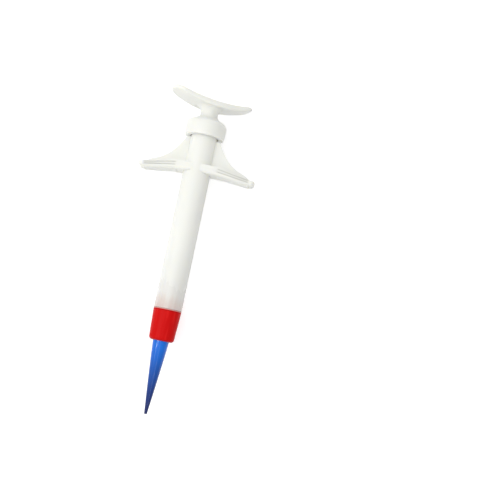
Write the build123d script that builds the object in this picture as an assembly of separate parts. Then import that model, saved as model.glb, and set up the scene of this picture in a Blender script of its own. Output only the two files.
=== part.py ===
from build123d import *
import os

# A hand plunger syringe lying on its side. The long axis is Y with the nozzle
# towards -Y, the finger wings run along X and +Z is up. The origin is on the
# axis, half way along the plain length of the barrel. Millimetres throughout.

# ---- named clearances ----
RUNNING_GAP = 0.05
THREAD_GAP = 0.15
FREE_GAP = 0.15
STOP_GAP = 0.3

# ---- bore, screw thread and the walls that are built up from them ----
BORE_R = 4.2
NECK_WALL = 0.8
THREAD_HEIGHT = 0.45
NUT_WALL = 0.9
THREAD_PITCH = 2.5
THREAD_TURNS = 2.0
THREAD_ROOT_SHARE = 0.6
THREAD_CREST_SHARE = 0.28
THREAD_BURY = 0.4
THREAD_START = 1.6

# ---- barrel ----
PLAIN_LENGTH = 64.5
NECK_LENGTH = 9.0
REAR_STEP = 0.3
MOUTH_CHAMFER = 0.5
BEAD_DEPTH = 0.2
BEAD_LENGTH = 1.2
BEAD_INSET = 0.8

# ---- finger wings, a ridged swept bar with gusset webs behind ----
WING_SPAN = 55.0
WING_SIDE_INSET = 0.25
WING_TIP_WIDTH = 9.0
WING_TIP_CORNER = 2.0
WING_FLAT = 9.0
WING_THICK = 4.0
WING_TIP_THICK = 2.4
WING_SWEEP = 1.7
WING_MIDDLE_SHARE = 0.5
WING_ROOT = 9.0
WING_FRONT_ROUND = 1.6
RIDGE_COUNT = 4
RIDGE_PITCH = 1.9
RIDGE_WIDTH = 0.9
RIDGE_HEIGHT = 0.3
RIDGE_ROOT_INSET = 0.5
RIDGE_END_INSET = 2.4
GROOVE_LIFTS = (1.5, 2.8)
GROOVE_WIDTH = 0.5
GROOVE_DEPTH = 0.3
WEB_THICK = 2.4
WEB_RIM_GAP = 0.9
# web outline, each pair is (share of the half span, share of the rim lift)
WEB_CURVE = ((0.37, 0.73), (0.46, 0.54), (0.57, 0.375), (0.7, 0.255), (0.83, 0.17))
WEB_TOP_SHARE = 0.295
WEB_END_SHARE = 0.95

# ---- thumb rest: hollow skirt, dome, neck and saddle ----
RIM_LIFT = 17.6
SKIRT_GAP = 0.5
SKIRT_WALL = 2.4
SKIRT_BULGE = 0.5
SKIRT_DEPTH = 4.8
SKIRT_WAIST_LIFT = 5.0
REST_NECK_R = 4.2
REST_NECK_LIFT = 10.8
SADDLE_SPAN = 40.0
SADDLE_WIDTH = 15.0
SADDLE_TIP_WIDTH = 11.5
SADDLE_TIP_CORNER = 5.0
SADDLE_FLAT = 8.0
SADDLE_LIFT = 17.3
SADDLE_DISH = 3.2
SADDLE_THICK = 2.8
SADDLE_TIP_THICK = 1.9
SADDLE_EDGE_ROUND = 0.8
FLARE_R = 6.6
FLARE_LIFT = 14.9
THUMB_REST_TURN = 27.0

# ---- plunger rod ----
ROD_GAP = 0.4
RIB_THICK = 1.4
ROD_CORE_R = 1.3
DISC_THICK = 1.0
SPIGOT_WALL = 1.3
SPIGOT_LENGTH = 7.0
KNOB_R = 2.3
KNOB_LENGTH = 1.8
STEM_R = 1.4
STEM_LENGTH = 1.6

# ---- piston and its two seals ----
PISTON_LENGTH = 9.0
PISTON_FRONT_GAP = 0.4
PISTON_NOSE_SHARE = 0.64
PISTON_NOSE_LENGTH = 1.2
SEAL_SECTION_R = 0.55
SEAL_GROOVE_WIDTH = 1.3
FRONT_SEAL_OFFSET = 2.4
REAR_SEAL_OFFSET = 6.9

# ---- nozzle and its gasket ----
GASKET_THICK = 1.2
GASKET_BORE_INSET = 1.1
FLANGE_INSET = 0.35
FLANGE_THICK = 1.8
NOZZLE_VISIBLE = 33.5
NOZZLE_TIP_R = 0.65
OUTLET_R = 0.4
OUTLET_LENGTH = 4.0
INLET_R = 2.9
# outside and inside radii along the cone, each as (share of length, radius)
NOZZLE_OUTSIDE = ((0.0, 3.7), (0.2, 3.2), (0.4, 2.6), (0.72, 1.6), (0.9, 0.98))
NOZZLE_INSIDE = ((0.4, 1.8), (0.72, 0.8))

# ---- collar nut ----
NUT_LENGTH = 14.65
NUT_FRONT_TAPER = 0.75
NUT_EDGE_ROUND = 1.5
NUT_SEAM_GAP = 0.15

# ---- radii built up from the bore outwards ----
NECK_R = BORE_R + NECK_WALL
THREAD_CREST_R = NECK_R + THREAD_HEIGHT
NUT_BORE_R = THREAD_CREST_R + THREAD_GAP
BARREL_R = NUT_BORE_R + NUT_WALL
REAR_R = BARREL_R - REAR_STEP
WING_WIDTH = (REAR_R - WING_SIDE_INSET) * 2
NUT_FRONT_R = BARREL_R - NUT_FRONT_TAPER
FLANGE_R = NECK_R - FLANGE_INSET
SKIRT_INNER_R = REAR_R + SKIRT_GAP
SKIRT_RIM_R = SKIRT_INNER_R + SKIRT_WALL
SKIRT_R = SKIRT_RIM_R + SKIRT_BULGE
ROD_R = BORE_R - ROD_GAP
SPIGOT_R = REST_NECK_R - SPIGOT_WALL

# ---- stations along Y worked out from the sizes above ----
WING_FRONT_Y = PLAIN_LENGTH / 2
SHOULDER_Y = -PLAIN_LENGTH / 2
RIM_Y = WING_FRONT_Y + RIM_LIFT
CEILING_Y = RIM_Y + SKIRT_DEPTH
TAIL_Y = CEILING_Y - STOP_GAP
NECK_END_Y = SHOULDER_Y - NECK_LENGTH
GASKET_END_Y = NECK_END_Y - GASKET_THICK
FLANGE_END_Y = GASKET_END_Y - FLANGE_THICK
NUT_REAR_Y = SHOULDER_Y - NUT_SEAM_GAP
NUT_FRONT_Y = NUT_REAR_Y - NUT_LENGTH
TIP_Y = NUT_FRONT_Y - NOZZLE_VISIBLE
PISTON_FRONT_Y = NECK_END_Y + PISTON_FRONT_GAP
PISTON_REAR_Y = PISTON_FRONT_Y + PISTON_LENGTH


def turned(points):
    """Turn a closed outline of (radius, y) points about the Y axis."""
    outline = Polyline(*points, close=True)
    return revolve(make_face(outline), Axis.Y)


def tube(outer_r, inner_r, y_low, y_high):
    """A plain tube between two stations."""
    return turned(((inner_r, y_low), (outer_r, y_low), (outer_r, y_high), (inner_r, y_high)))


def rod_length(radius, y_low, y_high):
    """A plain round bar between two stations."""
    return turned(((0, y_low), (radius, y_low), (radius, y_high), (0, y_high)))


def thread_ridge(buried_r, crest_r, turns, start_y):
    """One helical ridge that climbs towards -Y from start_y."""
    half_root = THREAD_PITCH * THREAD_ROOT_SHARE / 2
    half_crest = THREAD_PITCH * THREAD_CREST_SHARE / 2
    section = Plane.XZ * Polygon(
        (buried_r, -half_root),
        (crest_r, -half_crest),
        (crest_r, half_crest),
        (buried_r, half_root),
        align=None,
    )
    path = Helix(pitch=THREAD_PITCH, height=turns * THREAD_PITCH, radius=buried_r)
    ridge = sweep(section, path=path, is_frenet=True)
    return Pos(0, start_y, 0) * Rot(X=90) * ridge


def plan_outline(span, width, tip_width, flat, corner):
    """A tapered outline seen along Y, level over the flat and rounded at the tips."""
    half = span / 2
    shape = Polygon(
        (-half, -tip_width / 2),
        (-flat / 2, -width / 2),
        (flat / 2, -width / 2),
        (half, -tip_width / 2),
        (half, tip_width / 2),
        (flat / 2, width / 2),
        (-flat / 2, width / 2),
        (-half, tip_width / 2),
        align=None,
    )
    inner = shape.vertices().filter_by(lambda point: abs(point.X) < (half + flat / 2) / 2)
    rounded = fillet(inner, flat)
    tips = rounded.vertices().filter_by(lambda point: abs(point.X) > half - corner / 2)
    return fillet(tips, corner)


def prism_along_y(outline, y_low, y_high):
    """Stand a plan outline up between two stations on Y."""
    flat = Plane.XZ * outline
    return Pos(0, y_high, 0) * extrude(flat, y_high - y_low)


def strip(points_low, points_high, width):
    """A strip between two curves in the XY plane, centred on Z."""
    low = Spline(*points_low)
    high = Spline(*points_high)
    left = Line(low @ 0, high @ 0)
    right = Line(low @ 1, high @ 1)
    face = make_face(Curve() + [low, high, left, right])
    return Pos(0, 0, -width / 2) * extrude(face, width)


def wing_line(lift, sweep):
    """A line across both wings, level over the root and swept towards the nozzle at the tips."""
    half = WING_SPAN / 2
    level_y = WING_FRONT_Y + lift
    middle = ((half + WING_ROOT) / 2, level_y - sweep * WING_MIDDLE_SHARE)
    slope = sweep / (half - WING_ROOT)
    ends = ((1, 0), (1, -slope * WING_MIDDLE_SHARE))
    right = Spline((WING_ROOT, level_y), middle, (half, level_y - sweep), tangents=ends)
    level = Line((-WING_ROOT, level_y), (WING_ROOT, level_y))
    return Curve() + [mirror(right, Plane.YZ), level, right]


def wing_strip(low_lift, low_sweep, high_lift, high_sweep):
    """A swept strip between two lines across the wings."""
    half = WING_SPAN / 2
    low_y = WING_FRONT_Y + low_lift - low_sweep
    high_y = WING_FRONT_Y + high_lift - high_sweep
    ends = [Line((side * half, low_y), (side * half, high_y)) for side in (-1, 1)]
    outline = Curve() + [wing_line(low_lift, low_sweep), wing_line(high_lift, high_sweep)] + ends
    return Pos(0, 0, -WING_WIDTH / 2) * extrude(make_face(outline), WING_WIDTH)


def is_front_edge(edge):
    """Whether an edge of the wings lies nearer the nozzle than the middle of their thickness."""
    point = edge.center()
    share = max(0, abs(point.X) - WING_ROOT) / (WING_SPAN / 2 - WING_ROOT)
    thick = WING_THICK + (WING_TIP_THICK - WING_THICK) * share
    return point.Y < WING_FRONT_Y - WING_SWEEP * share + thick / 4


def wing_outline(inset):
    """The outline of both wings seen along Y, drawn in from the edge."""
    trim = inset * 2
    width = WING_WIDTH - trim
    tip_width = WING_TIP_WIDTH - trim
    return plan_outline(WING_SPAN - trim, width, tip_width, WING_FLAT, WING_TIP_CORNER)


def finger_wings():
    """The swept bar that both finger wings share, rounded in front and thinner at the tips."""
    low = WING_FRONT_Y - WING_SWEEP * 2
    high = WING_FRONT_Y + WING_THICK * 2
    rear_sweep = WING_SWEEP + WING_THICK - WING_TIP_THICK
    bar = wing_strip(0, WING_SWEEP, WING_THICK, rear_sweep) & prism_along_y(wing_outline(0), low, high)
    bar = fillet(bar.edges().filter_by(is_front_edge), WING_FRONT_ROUND)
    return bar - side_grooves()


def ridge_span():
    """Where the ridges and grooves of one wing start and how long they are."""
    root_x = WING_ROOT + RIDGE_ROOT_INSET
    return root_x, WING_SPAN / 2 - RIDGE_END_INSET - root_x


def side_grooves():
    """Lengthwise grooves round the upper and lower sides of both wings."""
    root_x, length = ridge_span()
    high = WING_FRONT_Y + WING_THICK
    low = WING_FRONT_Y - WING_SWEEP * 2
    core = prism_along_y(wing_outline(GROOVE_DEPTH), low, high)
    middle = root_x + length / 2
    deep = high - low
    reach = Pos(middle, (low + high) / 2, 0) * Box(length, deep, WING_WIDTH * 2)
    reach = reach + Pos(-middle, (low + high) / 2, 0) * Box(length, deep, WING_WIDTH * 2)
    rear_sweep = WING_SWEEP + WING_THICK - WING_TIP_THICK
    grooves = []
    for lift in GROOVE_LIFTS:
        sweep = WING_SWEEP + (rear_sweep - WING_SWEEP) * lift / WING_THICK
        strip_here = wing_strip(lift, sweep, lift + GROOVE_WIDTH, sweep)
        grooves.append((strip_here & reach) - core)
    return grooves


def grip_ridges():
    """Lengthwise ridges on the nozzle side of both wings."""
    slab = wing_strip(-RIDGE_HEIGHT, WING_SWEEP, WING_THICK / 2, WING_SWEEP)
    root_x, length = ridge_span()
    middle = root_x + length / 2
    first = -(RIDGE_COUNT - 1) / 2 * RIDGE_PITCH
    bars = []
    for side in (-1, 1):
        for index in range(RIDGE_COUNT):
            level = first + index * RIDGE_PITCH
            bar = SlotOverall(length, RIDGE_WIDTH)
            bars.append(Pos(side * middle, level) * bar)
    outline = Sketch() + bars
    return slab & prism_along_y(outline, WING_FRONT_Y - WING_SWEEP * 2, WING_FRONT_Y + WING_THICK)


def gusset_web():
    """The thin web that braces both wings against the barrel."""
    half = WING_SPAN / 2
    base = WING_FRONT_Y + WING_THICK / 2
    end_y = WING_FRONT_Y + WING_TIP_THICK / 2 - WING_SWEEP
    curve = [(half * WEB_TOP_SHARE, RIM_Y - WEB_RIM_GAP)]
    for across, up in WEB_CURVE:
        curve.append((half * across, WING_FRONT_Y + RIM_LIFT * up))
    curve.append((half * WEB_END_SHARE, end_y))
    right = Spline(*curve)
    left = mirror(right, Plane.YZ)
    foot = Polyline(right @ 1, (WING_ROOT, base), (-WING_ROOT, base), left @ 1)
    face = make_face(Curve() + [right, left, foot, Line(right @ 0, left @ 0)])
    return Pos(0, 0, -WEB_THICK / 2) * extrude(face, WEB_THICK)


def barrel():
    """Barrel tube, slimmer behind the wings, with webs, threaded neck and retaining bead."""
    shell = turned((
        (0, NECK_END_Y),
        (NECK_R - MOUTH_CHAMFER / 2, NECK_END_Y),
        (NECK_R, NECK_END_Y + MOUTH_CHAMFER / 2),
        (NECK_R, SHOULDER_Y),
        (BARREL_R, SHOULDER_Y),
        (BARREL_R, WING_FRONT_Y),
        (REAR_R, WING_FRONT_Y),
        (REAR_R, TAIL_Y - MOUTH_CHAMFER),
        (REAR_R - MOUTH_CHAMFER, TAIL_Y),
        (0, TAIL_Y),
    ))
    body = shell + finger_wings() + grip_ridges() + gusset_web()
    body = body + thread_ridge(NECK_R - THREAD_BURY, THREAD_CREST_R, THREAD_TURNS, SHOULDER_Y - THREAD_START)
    bead_high = TAIL_Y - BEAD_INSET
    bead_low = bead_high - BEAD_LENGTH
    bore = turned((
        (0, NECK_END_Y - 1),
        (BORE_R, NECK_END_Y - 1),
        (BORE_R, bead_low),
        (BORE_R - BEAD_DEPTH, bead_low + BEAD_LENGTH / 3),
        (BORE_R - BEAD_DEPTH, bead_high - BEAD_LENGTH / 3),
        (BORE_R, bead_high),
        (BORE_R, TAIL_Y - MOUTH_CHAMFER),
        (BORE_R + MOUTH_CHAMFER, TAIL_Y),
        (BORE_R + MOUTH_CHAMFER, TAIL_Y + 1),
        (0, TAIL_Y + 1),
    ))
    return body - bore


def saddle():
    """The dished thumb saddle, thick at the neck and thinner at the tips."""
    half = SADDLE_SPAN / 2
    top = RIM_Y + SADDLE_LIFT
    shares = (-1.0, -0.6, 0.0, 0.6, 1.0)
    rear = [(share * half, top + SADDLE_DISH * share * share) for share in shares]
    front_dish = SADDLE_DISH + SADDLE_THICK - SADDLE_TIP_THICK
    front = [(share * half, top - SADDLE_THICK + front_dish * share * share) for share in shares]
    outline = plan_outline(SADDLE_SPAN, SADDLE_WIDTH, SADDLE_TIP_WIDTH, SADDLE_FLAT, SADDLE_TIP_CORNER)
    prism = prism_along_y(outline, top - SADDLE_THICK * 2, top + SADDLE_DISH * 2)
    plate = strip(front, rear, SADDLE_WIDTH) & prism
    return fillet(plate.edges(), SADDLE_EDGE_ROUND)


def thumb_rest():
    """Skirted cap, neck and saddle in one moulding, with a socket for the rod."""
    waist_y = RIM_Y + SKIRT_WAIST_LIFT
    neck_y = RIM_Y + REST_NECK_LIFT
    flare_y = RIM_Y + FLARE_LIFT
    saddle_y = RIM_Y + SADDLE_LIFT - SADDLE_THICK / 2
    rim = Line((SKIRT_INNER_R, RIM_Y), (SKIRT_RIM_R, RIM_Y))
    wall = Spline((SKIRT_RIM_R, RIM_Y), (SKIRT_R, waist_y), tangents=((0.2, 1), (0, 1)))
    dome = Spline(wall @ 1, (REST_NECK_R, neck_y), tangents=((0, 1), (-0.25, 1)))
    flare = Spline(dome @ 1, (FLARE_R, flare_y), tangents=((-0.25, 1), (1, 0.45)))
    rest = Polyline(
        flare @ 1,
        (FLARE_R, saddle_y),
        (0, saddle_y),
        (0, CEILING_Y + SPIGOT_LENGTH),
        (SPIGOT_R, CEILING_Y + SPIGOT_LENGTH),
        (SPIGOT_R, CEILING_Y),
        (SKIRT_INNER_R, CEILING_Y),
        (SKIRT_INNER_R, RIM_Y),
    )
    outline = Curve() + [rim, wall, dome, flare, rest]
    moulding = revolve(make_face(outline), Axis.Y) + saddle()
    return Rot(Y=THUMB_REST_TURN) * moulding


def plunger_rod():
    """Cross-ribbed rod with a seating disc, a spigot and a snap-in knob."""
    disc_low = CEILING_Y - DISC_THICK
    front_y = PISTON_REAR_Y + STEM_LENGTH / 2
    rib_length = disc_low - front_y
    middle = front_y + rib_length / 2
    ribs = Pos(0, middle, 0) * Box(ROD_R * 2, rib_length, RIB_THICK)
    ribs = ribs + Pos(0, middle, 0) * Box(RIB_THICK, rib_length, ROD_R * 2)
    limit = rod_length(ROD_R, front_y, disc_low)
    rod = (ribs & limit) + rod_length(ROD_CORE_R, front_y, disc_low)
    rod = rod + rod_length(ROD_R, disc_low, CEILING_Y)
    rod = rod + rod_length(SPIGOT_R, CEILING_Y, CEILING_Y + SPIGOT_LENGTH)
    rod = rod + rod_length(ROD_R, front_y, front_y + DISC_THICK)
    knob_rear = PISTON_REAR_Y - STEM_LENGTH / 2
    rod = rod + rod_length(STEM_R, knob_rear, front_y)
    rod = rod + rod_length(KNOB_R, knob_rear - KNOB_LENGTH, knob_rear)
    return Rot(Y=THUMB_REST_TURN) * rod


def piston():
    """Piston with two seal grooves, a blunt nose and a socket for the knob."""
    piston_r = BORE_R - FREE_GAP
    nose_r = piston_r * PISTON_NOSE_SHARE
    body = turned((
        (0, PISTON_FRONT_Y),
        (nose_r, PISTON_FRONT_Y),
        (piston_r, PISTON_FRONT_Y + PISTON_NOSE_LENGTH),
        (piston_r, PISTON_REAR_Y),
        (0, PISTON_REAR_Y),
    ))
    groove_r = BORE_R - RUNNING_GAP - SEAL_SECTION_R * 2
    for offset in (FRONT_SEAL_OFFSET, REAR_SEAL_OFFSET):
        middle = PISTON_FRONT_Y + offset
        half = SEAL_GROOVE_WIDTH / 2
        body = body - tube(BORE_R, groove_r, middle - half, middle + half)
    socket_rear = PISTON_REAR_Y - STEM_LENGTH / 2 + RUNNING_GAP
    socket_front = socket_rear - KNOB_LENGTH - RUNNING_GAP * 2
    body = body - rod_length(KNOB_R + RUNNING_GAP, socket_front, socket_rear)
    body = body - rod_length(STEM_R + RUNNING_GAP, socket_rear, PISTON_REAR_Y)
    return body


def seal(offset):
    """One round-section seal ring seated in its groove."""
    centre_r = BORE_R - RUNNING_GAP - SEAL_SECTION_R
    section = Pos(centre_r, PISTON_FRONT_Y + offset) * Circle(SEAL_SECTION_R)
    return revolve(section, Axis.Y)


def nozzle_gasket():
    """Flat ring between the barrel mouth and the nozzle flange."""
    return tube(FLANGE_R, BORE_R - GASKET_BORE_INSET, GASKET_END_Y, NECK_END_Y)


def nozzle():
    """Tapered hollow nozzle with a flange that the collar nut holds."""
    length = NOZZLE_VISIBLE
    outside = [(radius, NUT_FRONT_Y - share * length) for share, radius in NOZZLE_OUTSIDE]
    outside.append((NOZZLE_TIP_R, TIP_Y))
    outlet_y = TIP_Y + OUTLET_LENGTH
    inside = [(OUTLET_R, outlet_y)]
    for share, radius in reversed(NOZZLE_INSIDE):
        inside.append((radius, NUT_FRONT_Y - share * length))
    inside.append((INLET_R, FLANGE_END_Y))
    outer_curve = Spline(*outside)
    inner_curve = Spline(*inside)
    root_r = NOZZLE_OUTSIDE[0][1]
    rear = Polyline(
        (INLET_R, FLANGE_END_Y),
        (INLET_R, GASKET_END_Y),
        (FLANGE_R, GASKET_END_Y),
        (FLANGE_R, FLANGE_END_Y),
        (root_r, FLANGE_END_Y),
        (root_r, NUT_FRONT_Y),
    )
    front = Polyline((NOZZLE_TIP_R, TIP_Y), (OUTLET_R, TIP_Y), (OUTLET_R, outlet_y))
    return revolve(make_face(Curve() + [outer_curve, inner_curve, rear, front]), Axis.Y)


def collar_nut():
    """Tapered nut that screws on the neck and holds the nozzle flange."""
    hole_r = NOZZLE_OUTSIDE[0][1] + FREE_GAP
    seat_r = FLANGE_R + FREE_GAP
    step_y = NECK_END_Y - STOP_GAP
    shell = turned((
        (hole_r, NUT_FRONT_Y),
        (NUT_FRONT_R, NUT_FRONT_Y),
        (BARREL_R, NUT_REAR_Y),
        (NUT_BORE_R, NUT_REAR_Y),
        (NUT_BORE_R, step_y),
        (seat_r, step_y),
        (seat_r, FLANGE_END_Y),
        (hole_r, FLANGE_END_Y),
    ))
    front = shell.edges().filter_by(lambda edge: abs(edge.center().Y - NUT_FRONT_Y) < FREE_GAP)
    outer = front.sort_by(lambda edge: edge.radius)[-1]
    shell = fillet(outer, NUT_EDGE_ROUND)
    start = SHOULDER_Y - THREAD_START - THREAD_PITCH / 2
    crest_r = NECK_R + THREAD_GAP
    return shell + thread_ridge(NUT_BORE_R + THREAD_BURY, crest_r, THREAD_TURNS, start)


NODES = {
    "barrel": barrel,
    "thumb_rest": thumb_rest,
    "plunger_rod": plunger_rod,
    "piston": piston,
    "front_seal": lambda: seal(FRONT_SEAL_OFFSET),
    "rear_seal": lambda: seal(REAR_SEAL_OFFSET),
    "nozzle": nozzle,
    "nozzle_gasket": nozzle_gasket,
    "collar_nut": collar_nut,
}

os.makedirs("parts", exist_ok=True)
for name, build in NODES.items():
    export_step(build(), f"parts/{name}.step")
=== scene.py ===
# %% [markdown]
# # Dressing a hand plunger syringe
#
# The solid parts arrive from the CAD as a fixed frame, each in its own place.
# Blender adds what CAD doesn't have: the finish of every plastic, soft light
# and a camera. Nothing from the CAD is moved, so the first step only loads it
# and notes how big it is.

# %% Load the fixed frame
import math

import bmesh
import bpy
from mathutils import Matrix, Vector
from mathutils.bvhtree import BVHTree


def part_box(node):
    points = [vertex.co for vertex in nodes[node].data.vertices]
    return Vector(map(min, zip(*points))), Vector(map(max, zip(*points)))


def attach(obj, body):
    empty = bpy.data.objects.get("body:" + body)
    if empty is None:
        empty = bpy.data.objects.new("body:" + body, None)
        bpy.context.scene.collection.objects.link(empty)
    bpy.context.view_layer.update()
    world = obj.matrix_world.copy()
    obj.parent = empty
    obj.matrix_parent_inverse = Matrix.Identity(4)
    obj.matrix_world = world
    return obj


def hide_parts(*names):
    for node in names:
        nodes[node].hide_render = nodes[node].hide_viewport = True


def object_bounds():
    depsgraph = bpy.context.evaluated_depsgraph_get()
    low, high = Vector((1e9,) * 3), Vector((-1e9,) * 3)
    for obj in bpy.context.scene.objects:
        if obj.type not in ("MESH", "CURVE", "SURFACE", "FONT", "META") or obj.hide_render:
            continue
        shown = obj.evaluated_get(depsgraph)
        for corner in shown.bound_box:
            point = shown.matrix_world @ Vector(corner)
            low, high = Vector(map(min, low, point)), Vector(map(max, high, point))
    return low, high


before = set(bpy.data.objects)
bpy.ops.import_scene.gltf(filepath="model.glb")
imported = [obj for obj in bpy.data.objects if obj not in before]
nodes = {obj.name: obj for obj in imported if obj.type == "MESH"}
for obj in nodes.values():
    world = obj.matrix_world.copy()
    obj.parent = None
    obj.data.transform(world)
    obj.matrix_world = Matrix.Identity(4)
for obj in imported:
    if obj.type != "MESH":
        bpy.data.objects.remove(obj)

MM = 0.001
cad_low, cad_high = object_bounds()
print("CAD box in mm:", [round(side / MM, 1) for side in cad_high - cad_low])

# %% [markdown]
# ## Shader maths that reads like Python
#
# A finish is a small calculation made of nodes. Placing each Math node by hand
# hides the idea, so one class wraps an output socket and turns Python's
# operators into Math nodes. `1 - mask` works too, because the reflected forms
# are there. Every other node comes from the one method `add`, which sets the
# node's settings first and then fills in its sockets with values or links.

# %% A socket that can be calculated with
class Wire:
    """One output socket, with Python's operators standing for Math nodes."""

    def __init__(self, graph, socket):
        self.graph = graph
        self.socket = socket

    def also(self, name):
        """Another output of the same node."""
        return Wire(self.graph, self.socket.node.outputs[name])

    def calculate(self, operation, *values):
        return self.graph.calculate(operation, *values)

    def __add__(self, other):
        return self.calculate("ADD", self, other)

    def __radd__(self, other):
        return self.calculate("ADD", other, self)

    def __sub__(self, other):
        return self.calculate("SUBTRACT", self, other)

    def __rsub__(self, other):
        return self.calculate("SUBTRACT", other, self)

    def __mul__(self, other):
        return self.calculate("MULTIPLY", self, other)

    def __rmul__(self, other):
        return self.calculate("MULTIPLY", other, self)

    def __truediv__(self, other):
        return self.calculate("DIVIDE", self, other)

    def __rtruediv__(self, other):
        return self.calculate("DIVIDE", other, self)

    def __abs__(self):
        return self.calculate("ABSOLUTE", self)


# %% A graph that nodes are added to
class Graph:
    """A shader or geometry node tree."""

    def __init__(self, tree):
        self.tree = tree

    def add(self, kind, settings=None, sockets=None, out=0):
        """Add a node, apply its settings, then fill its sockets; gives one of its outputs."""
        node = self.tree.nodes.new(kind)
        for name, value in (settings or {}).items():
            if name == "stops":
                self.set_stops(node.color_ramp, value)
            else:
                setattr(node, name, value)
        for name, value in (sockets or {}).items():
            if isinstance(value, Wire):
                self.tree.links.new(value.socket, node.inputs[name])
            else:
                node.inputs[name].default_value = value
        return Wire(self, node.outputs[out]) if len(node.outputs) else None

    def calculate(self, operation, *values):
        """One Math node on sockets and numbers."""
        return self.add("ShaderNodeMath", {"operation": operation}, dict(enumerate(values)))

    @staticmethod
    def set_stops(ramp, stops):
        while len(ramp.elements) < len(stops):
            ramp.elements.new(1.0)
        for element, (position, colour) in zip(ramp.elements, stops):
            element.position = position
            element.color = (*colour, 1.0)


# %% [markdown]
# ## Small helpers for finishes
#
# All patterns read Object coordinates, which are metres in the frame, so a
# pattern is the same size on every piece and stays put when a piece moves.
# `stretched` squeezes or draws out those coordinates: a noise that is fine
# round the barrel and long along it becomes the flow lines of moulding.

# %% Helpers for coordinates, noise and colour
def new_material(name):
    """An empty node material and its graph."""
    material = bpy.data.materials.new(name)
    material.use_nodes = True
    material.node_tree.nodes.clear()
    return material, Graph(material.node_tree)


def stretched(graph, per_mm):
    """Object coordinates scaled to so many noise cells a millimetre along x, y and z."""
    where = graph.add("ShaderNodeTexCoord", out="Object")
    return graph.add("ShaderNodeMapping", {}, {"Vector": where, "Scale": [n / MM for n in per_mm]})


def noise(graph, per_mm, detail=2.0):
    """Noise from 0 to 1 with cells of the given size."""
    sockets = {"Vector": stretched(graph, per_mm), "Scale": 1.0, "Detail": detail}
    return graph.add("ShaderNodeTexNoise", {}, sockets)


def rise(graph, value, start, end):
    """0 before start, 1 after end and a smooth climb between."""
    sockets = {"Value": value, "From Min": start, "From Max": end}
    return graph.add("ShaderNodeMapRange", {"interpolation_type": "SMOOTHSTEP"}, sockets)


def mix(graph, share, first, second):
    """First colour at share 0, second at share 1."""
    colours = [c if isinstance(c, Wire) else (*c, 1.0) for c in (first, second)]
    sockets = {0: share, 6: colours[0], 7: colours[1]}
    return graph.add("ShaderNodeMix", {"data_type": "RGBA"}, sockets, out=2)


def bump(graph, height, depth_mm):
    """A normal pushed out by height, which is worth depth_mm at 1."""
    sockets = {"Height": height, "Distance": depth_mm * MM, "Strength": 1.0}
    return graph.add("ShaderNodeBump", {}, sockets)


def surface(graph, sockets):
    """Close a material with the Principled shader."""
    shader = graph.add("ShaderNodeBsdfPrincipled", {}, sockets)
    graph.add("ShaderNodeOutputMaterial", {}, {"Surface": shader})


print("helpers ready")

# %% [markdown]
# ## Milky plastic
#
# The barrel and the thumb rest are natural polypropylene: white, slightly
# clouded and waxy, with light soaking a little way in. A plain white paint
# would look like chalk, so the shader lets light scatter under the surface,
# and three patterns lie over it: broad clouds, long flow lines from the mould
# and a very fine grain. A thin ridge at half height is the line where the two
# halves of the mould met.

# %% Milky plastic recipe
SCATTER_DEPTH = 1.2 * MM
PARTING_HALF = 0.12 * MM
CLOUD_CELLS = (0.09, 0.06, 0.09)
GRAIN_CELLS = (3.5, 3.5, 3.5)
FLOW_RELIEF = 0.5
GRAIN_RELIEF = 0.12
PARTING_RELIEF = 0.6
MILKY_BUMP_MM = 0.035


def milky_patterns(graph, flow_per_mm):
    """Clouds, flow lines and grain, each from 0 to 1."""
    clouds = noise(graph, CLOUD_CELLS, 3.0)
    flow = noise(graph, flow_per_mm, 3.0)
    grain = noise(graph, GRAIN_CELLS)
    return clouds, flow, grain


def parting_line(graph):
    """1 on the mould's parting line at z = 0, 0 away from it."""
    where = graph.add("ShaderNodeTexCoord", out="Object")
    z = graph.add("ShaderNodeSeparateXYZ", {}, {0: where}, out="Z")
    return 1 - rise(graph, abs(z), 0.0, PARTING_HALF)


def milky_surface(graph, colour, patterns, roughness):
    """Close a milky material round its colour."""
    clouds, flow, grain = patterns
    height = flow * FLOW_RELIEF + grain * GRAIN_RELIEF + parting_line(graph) * PARTING_RELIEF
    surface(graph, {
        "Base Color": colour,
        "Roughness": roughness + (clouds - 0.5) * 0.16 + (flow - 0.5) * 0.1,
        "IOR": 1.49,
        "Subsurface Weight": 1.0,
        "Subsurface Radius": (1.0, 0.95, 0.8),
        "Subsurface Scale": SCATTER_DEPTH,
        "Normal": bump(graph, height, MILKY_BUMP_MM),
    })


# %% [markdown]
# ## The barrel
#
# The barrel is clear white at the wings and grows greyer towards the nut, a
# painted shade that stands for the hollow showing through the thin wall. Right at
# the nut a painted pink stands for a little red light soaking into the wall. One
# colour ramp along the axis holds all of that, and the flow lines push it to and
# fro so that it doesn't end in a ruled line. The wall is glossier at that end
# too, so streaks of light show.
# The finger wings have lengthwise grooves, and a mask that follows the wings'
# sweep paints shade into them, darkening them.

# %% Barrel plastic
NUT_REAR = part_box("collar_nut")[1].y
FADE_LENGTH = 30 * MM
# Painted light along the barrel: grey painted shade towards the nut and painted red light right at
# it, over the barrel's own whites.
BARREL_WHITES_AND_PAINTED_LIGHT = (
    (0.00, (0.700, 0.560, 0.520)),
    (0.10, (0.700, 0.620, 0.580)),
    (0.22, (0.760, 0.745, 0.720)),
    (0.50, (0.820, 0.825, 0.790)),
    (1.00, (0.860, 0.865, 0.825)),
)
SHADED_WHITE = (0.760, 0.765, 0.720)
BARREL_FLOW_CELLS = (0.75, 0.025, 0.75)
FLOW_PUSH = 0.2
NUT_END_ROUGHNESS = 0.2
WING_END_ROUGHNESS = 0.44

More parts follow.
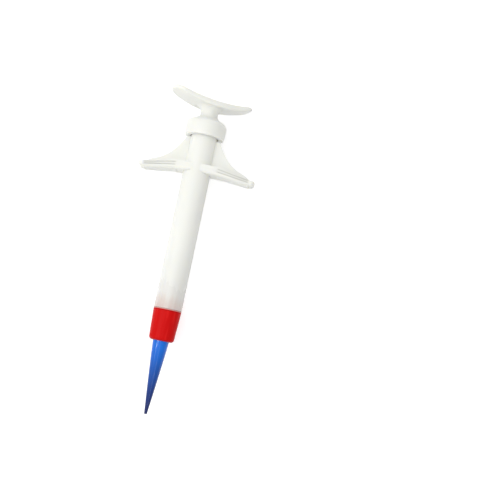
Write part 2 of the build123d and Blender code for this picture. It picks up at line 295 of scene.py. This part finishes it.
WING_FRONT = 32.25 * MM
WING_ROOT = 9.0 * MM
WING_SWEEP = 1.7 * MM
WING_THICK = 4.0 * MM
WING_REAR_SWEEP = 3.3 * MM
GROOVE_START = 9.5 * MM
GROOVE_END = 25.1 * MM
GROOVE_LIFTS = (1.75 * MM, 3.05 * MM)
GROOVE_HALF = 0.38 * MM
GROOVE_RUN_OUT = 1.0 * MM
# Painted shade in the wings' grooves: its grey and how much of it.
GROOVE_SHADE_GREY = (0.600, 0.600, 0.550)
GROOVE_SHADE_SHARE = 0.7


def groove_shade(graph, x, y):
    """1 in the lengthwise grooves of the wings, where shade is painted, 0 elsewhere."""
    across = abs(x)
    wing_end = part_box("barrel")[1].x
    share = graph.calculate("MAXIMUM", 0.0, (across - WING_ROOT) / (wing_end - WING_ROOT))
    shade = 0.0
    for lift in GROOVE_LIFTS:
        sweep = WING_SWEEP + (WING_REAR_SWEEP - WING_SWEEP) * lift / WING_THICK
        line = WING_FRONT + lift - share * sweep
        shade = shade + (1 - rise(graph, abs(y - line), GROOVE_HALF / 2, GROOVE_HALF))
    root = rise(graph, across, GROOVE_START, GROOVE_START + GROOVE_RUN_OUT)
    return shade * root * (1 - rise(graph, across, GROOVE_END - GROOVE_RUN_OUT, GROOVE_END))


def barrel_plastic():
    material, graph = new_material("barrel_milky")
    patterns = milky_patterns(graph, BARREL_FLOW_CELLS)
    clouds, flow, _ = patterns
    where = graph.add("ShaderNodeTexCoord", out="Object")
    y = graph.add("ShaderNodeSeparateXYZ", {}, {0: where}, out="Y")
    share = (y - NUT_REAR) / FADE_LENGTH + (flow - 0.5) * FLOW_PUSH
    # The barrel's whites, with painted shade towards the nut and painted red light at it.
    whites_and_painted_light = graph.add("ShaderNodeValToRGB", {"stops": BARREL_WHITES_AND_PAINTED_LIGHT}, {0: share})
    clouded = mix(graph, clouds * 0.25 + flow * 0.15, whites_and_painted_light, SHADED_WHITE)
    # Painted shade laid into the grooves of the wings.
    groove_painted_shade = groove_shade(graph, y.also("X"), y) * GROOVE_SHADE_SHARE
    colour = mix(graph, groove_painted_shade, clouded, GROOVE_SHADE_GREY)
    gloss_fade = rise(graph, y, NUT_REAR, NUT_REAR + FADE_LENGTH)
    roughness = NUT_END_ROUGHNESS + gloss_fade * (WING_END_ROUGHNESS - NUT_END_ROUGHNESS)
    milky_surface(graph, colour, patterns, roughness)
    return material


# %% [markdown]
# ## The thumb rest, the rod and the piston
#
# These are the same family of plastic without the fading. The thumb rest is
# thick, so it is a little brighter and its flow lines run along the saddle.
# The rod and piston work inside the barrel and keep a plainer satin white.

# %% Plain milky plastics
def plain_milky(name, light, dark, flow_per_mm, roughness):
    material, graph = new_material(name)
    patterns = milky_patterns(graph, flow_per_mm)
    clouds, flow, _ = patterns
    colour = mix(graph, clouds * 0.45 + flow * 0.4, light, dark)
    milky_surface(graph, colour, patterns, roughness)
    return material


thumb_rest_plastic = plain_milky(
    "thumb_rest_milky",
    light=(0.865, 0.870, 0.830), dark=(0.810, 0.813, 0.767),
    flow_per_mm=(0.06, 0.5, 0.5), roughness=0.34)
rod_plastic = plain_milky(
    "rod_satin",
    light=(0.830, 0.840, 0.820), dark=(0.760, 0.770, 0.745),
    flow_per_mm=(0.9, 0.03, 0.9), roughness=0.4)
piston_plastic = plain_milky(
    "piston_satin",
    light=(0.800, 0.810, 0.795), dark=(0.730, 0.740, 0.720),
    flow_per_mm=(0.6, 0.6, 0.6), roughness=0.42)
print("milky plastics made")

# %% [markdown]
# ## Red satin plastic for the collar nut
#
# The nut is turned by the fingers, so its satin surface is scuffed into faint
# lengthwise streaks, lighter where the colour is worn. Its two edges are darker
# with painted shade where the nut meets the barrel and the nozzle, and a painted
# highlight lies as a pale line on the corner by the barrel. The streaks come
# from one stretched noise that feeds the colour, the roughness and the bump
# together, as one scuff does in life.

# %% Nut plastic
NUT_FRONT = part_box("collar_nut")[0].y
RED = (0.590, 0.005, 0.005)
WORN_RED = (0.680, 0.012, 0.011)
# Painted shade: the dark red on both edges of the nut, with its width and share below.
DARK_RED = (0.300, 0.004, 0.006)
# Painted highlight: the pale line on the nut's rear corner, with its width and share below.
PALE_EDGE_HIGHLIGHT = (0.850, 0.420, 0.380)
EDGE_SHADE_WIDTH = 1.1 * MM
EDGE_SHADE_SHARE = 0.55
EDGE_HIGHLIGHT_WIDTH = 0.4 * MM
EDGE_HIGHLIGHT_SHARE = 0.8
STREAK_CELLS = (0.8, 0.05, 0.8)
NUT_GRAIN_CELLS = (4.0, 4.0, 4.0)


def nut_plastic():
    material, graph = new_material("nut_red")
    streaks = noise(graph, STREAK_CELLS, 4.0)
    grain = noise(graph, NUT_GRAIN_CELLS)
    where = graph.add("ShaderNodeTexCoord", out="Object")
    y = graph.add("ShaderNodeSeparateXYZ", {}, {0: where}, out="Y")
    worn = mix(graph, rise(graph, streaks, 0.45, 0.75), RED, WORN_RED)
    # Painted shade at the nut's rear and front edges.
    rear = rise(graph, y, NUT_REAR - EDGE_SHADE_WIDTH, NUT_REAR - EDGE_SHADE_WIDTH / 2)
    front = 1 - rise(graph, y, NUT_FRONT, NUT_FRONT + EDGE_SHADE_WIDTH)
    edge_painted_shade = mix(graph, (rear + front) * EDGE_SHADE_SHARE, worn, DARK_RED)
    # Painted highlight along the nut's rear corner.
    edge_painted_highlight = rise(graph, y, NUT_REAR - EDGE_HIGHLIGHT_WIDTH, NUT_REAR - EDGE_HIGHLIGHT_WIDTH / 2)
    colour = mix(graph, edge_painted_highlight * EDGE_HIGHLIGHT_SHARE, edge_painted_shade, PALE_EDGE_HIGHLIGHT)
    surface(graph, {
        "Base Color": colour,
        "Roughness": 0.28 + streaks * 0.16,
        "IOR": 1.49,
        "Specular IOR Level": 0.05,
        "Normal": bump(graph, streaks * 0.7 + grain * 0.2, 0.04),
    })
    return material


# %% [markdown]
# ## Blue gloss plastic for the nozzle
#
# The nozzle is a tinted, glossy moulding. Its wall is thick and bright at the
# nut and closes in on a fine bore at the tip, where less light gets through,
# so the blue runs from azure to navy along its length. A colour ramp along the
# axis paints that light and shade, and a low roughness keeps the highlight
# sharp.

# %% Nozzle plastic
NOZZLE_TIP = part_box("nozzle")[0].y
# Blue with painted light: azure at the nut, darkening to navy at the tip.
NOZZLE_BLUES_PAINTED_LIGHT = (
    (0.00, (0.010, 0.018, 0.105)),
    (0.30, (0.006, 0.034, 0.200)),
    (0.62, (0.003, 0.085, 0.420)),
    (1.00, (0.001, 0.165, 0.760)),
)
BLUE_CLOUD_CELLS = (0.35, 0.12, 0.35)
BLUE_FLOW_CELLS = (1.2, 0.06, 1.2)
CLOUD_PUSH = 0.12


def nozzle_plastic():
    material, graph = new_material("nozzle_blue")
    where = graph.add("ShaderNodeTexCoord", out="Object")
    y = graph.add("ShaderNodeSeparateXYZ", {}, {0: where}, out="Y")
    cloud = noise(graph, BLUE_CLOUD_CELLS, 3.0)
    flow = noise(graph, BLUE_FLOW_CELLS)
    share = (y - NOZZLE_TIP) / (NUT_FRONT - NOZZLE_TIP) + (cloud - 0.5) * CLOUD_PUSH
    # The blue with painted light along the nozzle's axis.
    painted_light_blues = graph.add("ShaderNodeValToRGB", {"stops": NOZZLE_BLUES_PAINTED_LIGHT}, {0: share})
    surface(graph, {
        "Base Color": painted_light_blues,
        "Roughness": 0.13 + (flow - 0.5) * 0.08,
        "IOR": 1.5,
        "Specular IOR Level": 0.32,
        "Normal": bump(graph, flow, 0.02),
    })
    return material


# %% [markdown]
# ## Rubber
#
# The seals are black rubber and the gasket is pale. Moulded rubber is dull and
# very slightly mottled, with a bloom that lightens it in patches.

# %% Rubber
def rubber(name, colour, bloom):
    material, graph = new_material(name)
    patches = noise(graph, (0.8, 0.8, 0.8), 4.0)
    grain = noise(graph, (6.0, 6.0, 6.0))
    surface(graph, {
        "Base Color": mix(graph, rise(graph, patches, 0.4, 0.8), colour, bloom),
        "Roughness": 0.5 + patches * 0.2,
        "Normal": bump(graph, grain, 0.02),
    })
    return material


seal_rubber = rubber("seal_black", (0.012, 0.012, 0.012), (0.035, 0.035, 0.035))
gasket_rubber = rubber("gasket_pale", (0.60, 0.60, 0.56), (0.68, 0.68, 0.64))

# %% [markdown]
# ## Giving the CAD parts their finishes
#
# A CAD part keeps its mesh, and only what is in its material slots changes.
# The nozzle and the two seals aren't in this list, because the next steps
# build finer stand-ins for them.

# %% Put the finishes on the CAD parts
finishes = {
    "barrel": barrel_plastic(),
    "thumb_rest": thumb_rest_plastic,
    "plunger_rod": rod_plastic,
    "piston": piston_plastic,
    "nozzle_gasket": gasket_rubber,
    "collar_nut": nut_plastic(),
}
for name, material in finishes.items():
    part = nodes[name]
    part.data.materials.clear()
    part.data.materials.append(material)
    print(name, "wears", material.name)

# %% [markdown]
# ## Measuring the nozzle's outline
#
# The nozzle is a turned shape: one outline spun about the axis. The outline is
# measured from the CAD part, by shooting rays at it from the axis and from
# outside, a hair before and after every ring of its mesh, so that the flange
# and the mouth keep their square corners. That makes thousands of points, and
# most lie on straight runs. `thinned` finds the point furthest off the straight
# line, keeps it if it matters, and does the same again on each side of it.

# %% Measure the nozzle
def radii_at(tree, y, reach):
    """Inner and outer radius of a turned part at station y."""
    out = tree.ray_cast(Vector((0, y, 0)), Vector((1, 0, 0)))[0]
    back = tree.ray_cast(Vector((reach, y, 0)), Vector((-1, 0, 0)))[0]
    return out.x, back.x


TINY = 0.002 * MM
OUTLINE_TOLERANCE = 0.008 * MM
nozzle_mesh = nodes["nozzle"].data
nozzle_tree = BVHTree.FromPolygons(
    [v.co.copy() for v in nozzle_mesh.vertices], [p.vertices[:] for p in nozzle_mesh.polygons])
nozzle_low, nozzle_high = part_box("nozzle")
outside_reach = nozzle_high.x * 3
print("nozzle from", round(nozzle_low.y / MM, 2), "to", round(nozzle_high.y / MM, 2), "mm")

# %% Choose the stations and trace the outline
def nozzle_stations():
    """A station a hair before and after every ring of the CAD part's mesh."""
    rings = sorted({round(v.co.y, 6) for v in nozzle_mesh.vertices})
    stations = set()
    for ring in rings:
        stations.update((ring - TINY, ring + TINY))
    low, high = nozzle_low.y + TINY, nozzle_high.y - TINY
    inside = sorted(min(max(y, low), high) for y in stations)
    kept = [inside[0]]
    for y in inside[1:]:
        if y - kept[-1] > TINY:
            kept.append(y)
    return kept


def off_line(point, first, last):
    """How far an outline point is from the straight line through two others."""
    along, gap = Vector(last) - Vector(first), Vector(point) - Vector(first)
    return abs(along.cross(gap)) / along.length


def thinned(points, tolerance):
    """The few points whose straight runs pass within tolerance of all the rest."""
    first, last = points[0], points[-1]
    offsets = [(off_line(point, first, last), i) for i, point in enumerate(points[1:-1], 1)]
    furthest, at = max(offsets, default=(0.0, 0))
    if furthest <= tolerance:
        return [first, last]
    return thinned(points[:at + 1], tolerance)[:-1] + thinned(points[at:], tolerance)


def trace_outline(tree, stations, reach):
    """A closed loop of (radius, y): up the outside and back down the bore."""
    rows = [(y, *radii_at(tree, y, reach)) for y in stations]
    outside = thinned([(outer, y) for y, inner, outer in rows], OUTLINE_TOLERANCE)
    bore = thinned([(inner, y) for y, inner, outer in reversed(rows)], OUTLINE_TOLERANCE)
    loop = outside + bore
    return loop + loop[:1]


nozzle_loop = trace_outline(nozzle_tree, nozzle_stations(), outside_reach)
print(len(nozzle_loop), "points in the nozzle's outline")

# %% [markdown]
# ## A lathe made of Geometry Nodes
#
# Everything that is turned follows one rule, so one node group can be the
# lathe. Its input is an outline and it lays out a grid with one row for every
# outline point and one column for every turn step. Each grid point looks up
# its outline point, takes that radius, and goes round the axis by its column's
# angle. The first and last columns meet, so they are merged, and edges sharper
# than the crease angle stay crisp in the shading.

# %% Build the lathe group
def add_group_inputs(tree, kinds):
    tree.interface.new_socket("Geometry", in_out="OUTPUT", socket_type="NodeSocketGeometry")
    tree.interface.new_socket("Outline", in_out="INPUT", socket_type="NodeSocketGeometry")
    for name, kind in kinds.items():
        tree.interface.new_socket(name, in_out="INPUT", socket_type=kind)


def lathe_group():
    """A node group that turns an outline about the Y axis."""
    tree = bpy.data.node_groups.new("lathe", "GeometryNodeTree")
    add_group_inputs(tree, {
        "Points": "NodeSocketInt",
        "Steps": "NodeSocketInt",
        "Crease": "NodeSocketFloat",
        "Merge": "NodeSocketFloat",
        "Finish": "NodeSocketMaterial",
    })
    graph = Graph(tree)
    given = graph.add("NodeGroupInput")
    points, steps = given.also("Points"), given.also("Steps")
    columns = steps + 1
    sheet = graph.add("GeometryNodeMeshGrid", {}, {"Vertices X": points, "Vertices Y": columns})
    index = graph.add("GeometryNodeInputIndex")
    row = graph.calculate("FLOOR", (index + 0.5) / columns)
    angle = (index - row * columns) / steps * math.tau
    here = graph.add("GeometryNodeInputPosition")
    settings = {"data_type": "FLOAT_VECTOR", "domain": "POINT"}
    sample_sockets = {"Geometry": given, "Value": here, "Index": row}
    found = graph.add("GeometryNodeSampleIndex", settings, sample_sockets)
    radius = graph.add("ShaderNodeSeparateXYZ", {}, {0: found}, out="X")
    y = radius.also("Y")
    x, z = radius * graph.calculate("COSINE", angle), radius * graph.calculate("SINE", angle)
    place = graph.add("ShaderNodeCombineXYZ", {}, {"X": x, "Y": y, "Z": z})
    turned = graph.add("GeometryNodeSetPosition", {}, {"Geometry": sheet, "Position": place})
    merge_sockets = {"Geometry": turned, "Distance": given.also("Merge")}
    closed = graph.add("GeometryNodeMergeByDistance", {}, merge_sockets)
    bend = abs(graph.add("GeometryNodeInputMeshEdgeAngle"))
    crease = given.also("Crease")
    sharp = graph.add("FunctionNodeCompare", {"operation": "GREATER_THAN"}, {0: bend, 1: crease})
    smooth = graph.add("GeometryNodeSetShadeSmooth", {"domain": "FACE"}, {"Geometry": closed})
    creased_sockets = {"Geometry": smooth, "Selection": sharp, "Shade Smooth": False}
    creased = graph.add("GeometryNodeSetShadeSmooth", {"domain": "EDGE"}, creased_sockets)
    real = graph.add("GeometryNodeRealizeInstances", {}, {"Geometry": creased})
    finish_sockets = {"Geometry": real, "Material": given.also("Finish")}
    done = graph.add("GeometryNodeSetMaterial", {}, finish_sockets)
    graph.add("NodeGroupOutput", {}, {"Geometry": done})
    return tree


lathe = lathe_group()
print("lathe has", len(lathe.nodes), "nodes")

# %% [markdown]
# ## Running the lathe
#
# The outline becomes a small mesh of points and edges that the modifier reads.
# Its inputs are filled in by socket identifier before anything is evaluated,
# then the result is taken as a plain mesh and the modifier goes. Last, the
# normals are made to point outwards.

# %% Turn an outline into a piece
TURN_STEPS = 96
CREASE_ANGLE = math.radians(30)
MERGE_DISTANCE = TINY / 4


def outline_object(name, loop):
    """An object whose mesh is only the outline's points and edges."""
    mesh = bpy.data.meshes.new(name)
    edges = [(i, i + 1) for i in range(len(loop) - 1)]
    mesh.from_pydata([(radius, y, 0) for radius, y in loop], edges, [])
    piece = bpy.data.objects.new(name, mesh)
    bpy.context.scene.collection.objects.link(piece)
    return piece


def set_inputs(modifier, values):
    """Fill a modifier's inputs by their socket identifiers."""
    for item in modifier.node_group.interface.items_tree:
        if item.in_out == "INPUT" and item.name in values:
            modifier[item.identifier] = values[item.name]


def apply_nodes(piece, group, values):
    """Run a node group on a piece and keep the result as its plain mesh."""
    modifier = piece.modifiers.new(group.name, "NODES")
    modifier.node_group = group
    set_inputs(modifier, values)
    view = bpy.context.evaluated_depsgraph_get()
    made = bpy.data.meshes.new_from_object(piece.evaluated_get(view), depsgraph=view)
    piece.modifiers.remove(modifier)
    piece.data = made


def point_outwards(mesh):
    work = bmesh.new()
    work.from_mesh(mesh)
    bmesh.ops.recalc_face_normals(work, faces=work.faces)
    work.to_mesh(mesh)
    work.free()


def turn(name, loop, material):
    """A finished piece turned from an outline."""
    piece = outline_object(name, loop)
    apply_nodes(piece, lathe, {
        "Points": len(loop),
        "Steps": TURN_STEPS,
        "Crease": CREASE_ANGLE,
        "Merge": MERGE_DISTANCE,
        "Finish": material,
    })
    point_outwards(piece.data)
    print(name, "has", len(piece.data.polygons), "faces")
    return piece


# %% [markdown]
# ## The nozzle
#
# The blue nozzle is turned in 96 steps, so its curved flank is smooth even
# close up. It stands for the CAD nozzle, which stays behind for the physics.

# %% Turn the nozzle
nozzle_piece = turn("nozzle_turned", nozzle_loop, nozzle_plastic())
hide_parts("nozzle")
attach(nozzle_piece, "nozzle")

# %% [markdown]
# ## The two seals
#
# A seal is a round cord of rubber joined in a ring, so its outline is a circle
# and the same lathe turns it. The circle's size comes from the CAD ring's box.

# %% Turn the seals
CORD_POINTS = 24


def ring_loop(node, points):
    """The circular outline of a ring, from the box of its CAD part."""
    low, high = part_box(node)
    section = (high.y - low.y) / 2
    centre_r, centre_y = high.x - section, (high.y + low.y) / 2
    angles = [math.tau * i / points for i in range(points + 1)]
    return [(centre_r + section * math.cos(a), centre_y + section * math.sin(a)) for a in angles]


for node in ("front_seal", "rear_seal"):
    seal = turn(node + "_turned", ring_loop(node, CORD_POINTS), seal_rubber)
    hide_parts(node)
    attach(seal, "piston")

# %% [markdown]
# ## Floor and light
#
# The syringe lies on a white light table, which glows a little so that it
# stays white under the syringe. A white tube on a white ground only looks
# round if the light has a direction, so the sky is brighter above and to the
# left than to the right and below. The table is hidden from diffuse rays, or
# its glow would fill in the right-hand sides again. Two long lamps overhead
# lay the thin bright streaks along the barrel that show it is glossy.

# %% Floor
FLOOR_GLOW = 0.35
FLOOR_HALF = 3.0


def floor_material():
    material, graph = new_material("light_table")
    grain = noise(graph, (0.2, 0.2, 0.2), 3.0)
    surface(graph, {
        "Base Color": mix(graph, grain, (0.93, 0.93, 0.93), (0.95, 0.95, 0.95)),
        "Roughness": 0.9,
        "Specular IOR Level": 0.1,
        "Emission Color": (1.0, 1.0, 1.0, 1.0),
        "Emission Strength": FLOOR_GLOW,
    })
    return material


floor_mesh = bpy.data.meshes.new("floor")
corners = [(-1, -1), (1, -1), (1, 1), (-1, 1)]
floor_points = [(x * FLOOR_HALF, y * FLOOR_HALF, cad_low.z) for x, y in corners]
floor_mesh.from_pydata(floor_points, [], [(0, 1, 2, 3)])
floor_mesh.materials.append(floor_material())
floor = bpy.data.objects.new("floor", floor_mesh)
floor.visible_diffuse = False
bpy.context.scene.collection.objects.link(floor)
print("floor at z =", round(cad_low.z / MM, 2), "mm")

# %% Sky and lamps
SKY_LEVEL = 0.78
SKY_TO_LEFT = 0.17
SKY_TO_TOP = 0.16


def sky():
    """An even sky that is brighter to the left and above."""
    world = bpy.data.worlds.new("soft_sky")
    world.use_nodes = True
    world.node_tree.nodes.clear()
    graph = Graph(world.node_tree)
    where = graph.add("ShaderNodeTexCoord", out="Generated")
    x = graph.add("ShaderNodeSeparateXYZ", {}, {0: where}, out="X")
    strength = SKY_LEVEL - x * SKY_TO_LEFT + x.also("Z") * SKY_TO_TOP
    light = graph.add("ShaderNodeBackground", {}, {"Color": (1, 1, 1, 1), "Strength": strength})
    graph.add("ShaderNodeOutputWorld", {}, {"Surface": light})
    bpy.context.scene.world = world


def strip_lamp(name, place, width, length, watts):
    """A long lamp that faces the origin, with its length along Y."""
    lamp = bpy.data.lights.new(name, "AREA")
    lamp.shape = "RECTANGLE"
    lamp.size = width
    lamp.size_y = length
    lamp.energy = watts
    holder = bpy.data.objects.new(name, lamp)
    holder.location = place
    holder.rotation_euler = Vector(place).to_track_quat("Z", "Y").to_euler()
    bpy.context.scene.collection.objects.link(holder)


sky()
strip_lamp("left_strip", (-0.42, -0.1, 0.7), width=0.03, length=0.5, watts=1.2)
strip_lamp("right_strip", (0.06, -0.1, 0.78), width=0.02, length=0.5, watts=0.5)
print("lights set")

# %% [markdown]
# ## Camera
#
# The camera looks almost straight down with the nozzle towards the bottom of
# the frame. Its place and turn are in the frame's own axes.

# %% Camera
LENS_MM = 66.08
SENSOR_MM = 36.0
CAMERA_PLACE = (0.05983, -0.05271, 0.41886)
CAMERA_TURN = (8.0266, 2.3001, 11.4057)
lens = bpy.data.cameras.new("camera")
lens.sensor_width = SENSOR_MM
lens.lens = LENS_MM
lens.clip_start = 0.01
camera = bpy.data.objects.new("camera", lens)
camera.location = CAMERA_PLACE
camera.rotation_euler = [math.radians(angle) for angle in CAMERA_TURN]
bpy.context.scene.collection.objects.link(camera)
bpy.context.scene.camera = camera
bpy.context.scene.view_settings.view_transform = "Standard"
print("lens", LENS_MM, "mm")
